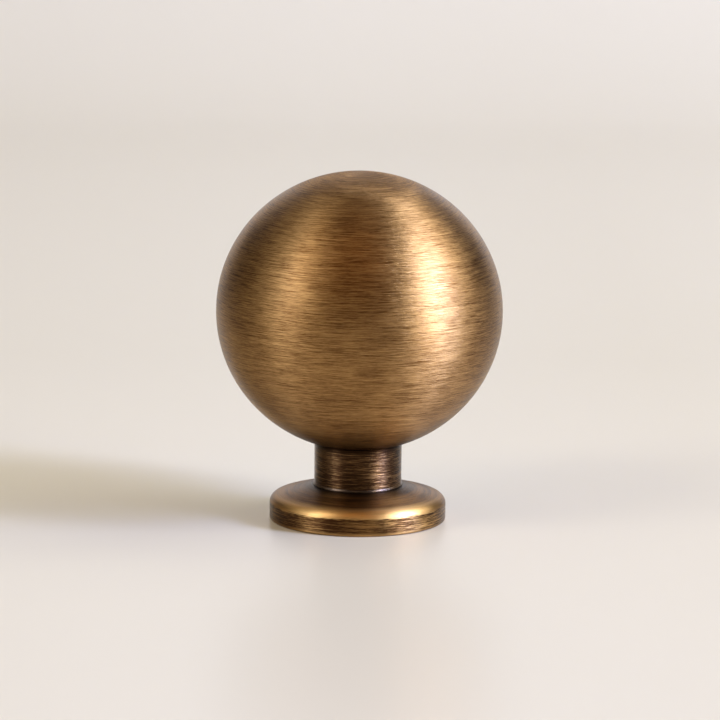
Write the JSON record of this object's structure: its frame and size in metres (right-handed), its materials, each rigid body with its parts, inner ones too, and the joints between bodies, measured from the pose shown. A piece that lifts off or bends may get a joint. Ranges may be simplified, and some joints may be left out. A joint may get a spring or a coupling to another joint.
{
  "type": "cabinet knob",
  "caption": "Solid brass ball knob with a short dark neck on a round rose, screwed on from behind; brushed antique finish.",
  "frame": {"origin": "centre of the mounting face under the rose, on the knob's axis", "axes": "+Z along the knob's axis, out from the cabinet front through the ball; X and Y lie in the mounting face"},
  "size_m": [0.032, 0.032, 0.0393],
  "materials": {
    "ball_brass": "antique brass, brushed round the axis, satin",
    "neck_brass": "dark patinated brass, brushed round the axis",
    "rose_brass": "antique brass, rubbed bright at the rim and dark on the upright wall"
  },
  "bodies": {
    "root": {"ball_head": "ball_brass", "neck": "neck_brass", "rose": "rose_brass"}
  },
  "joints": []
}
